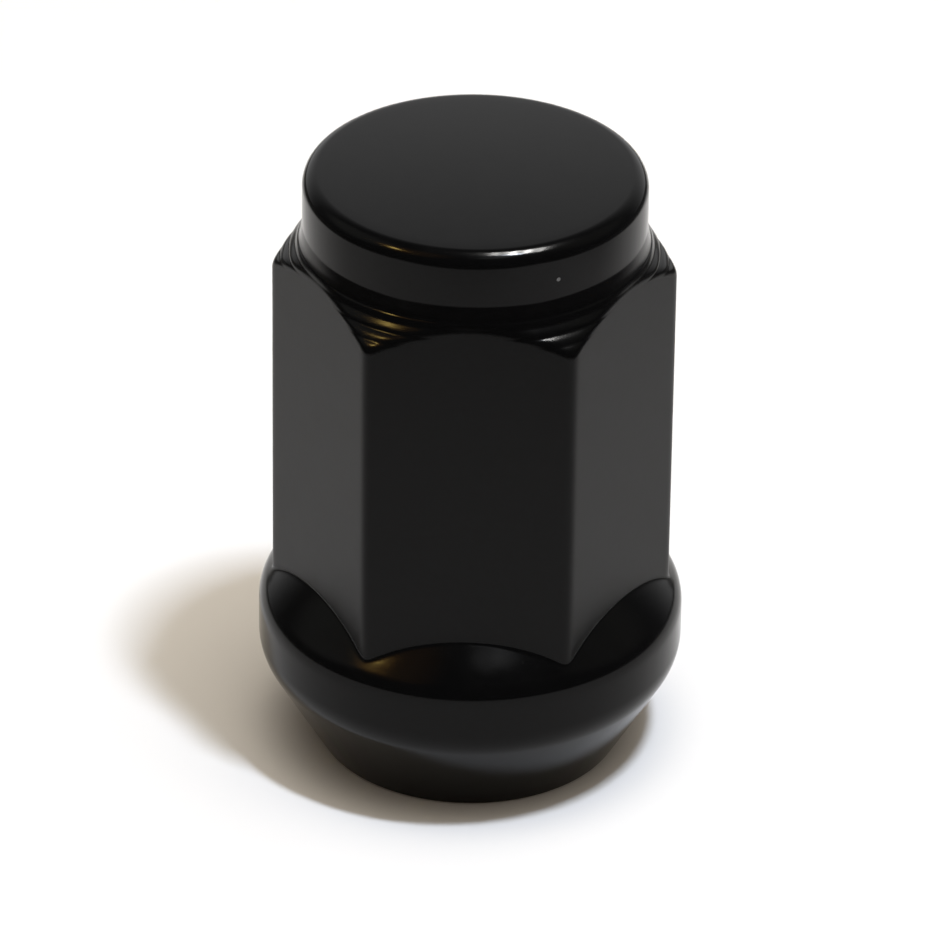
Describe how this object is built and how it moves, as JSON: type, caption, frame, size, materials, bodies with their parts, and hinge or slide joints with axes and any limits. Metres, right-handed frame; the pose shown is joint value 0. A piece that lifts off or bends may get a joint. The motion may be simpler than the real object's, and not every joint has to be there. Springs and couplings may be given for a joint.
{
  "type": "lug nut",
  "caption": "Closed-end black wheel lug nut with a round, slightly domed cap, a hexagonal body, a rounded bulge and a conical seat, tapped from the seat end for a wheel stud.",
  "frame": {"origin": "centre of the flat rim at the open seat end, on which the nut stands", "axes": "+Z along the nut's axis from the seat end to the closed end, one flat of the hexagon towards -Y"},
  "size_m": [0.0232, 0.0232, 0.035],
  "materials": {
    "black_coating": "satin black coating on steel, with fine turning marks on the chamfer"
  },
  "bodies": {
    "root": {"lug_nut": "black_coating"}
  },
  "joints": []
}
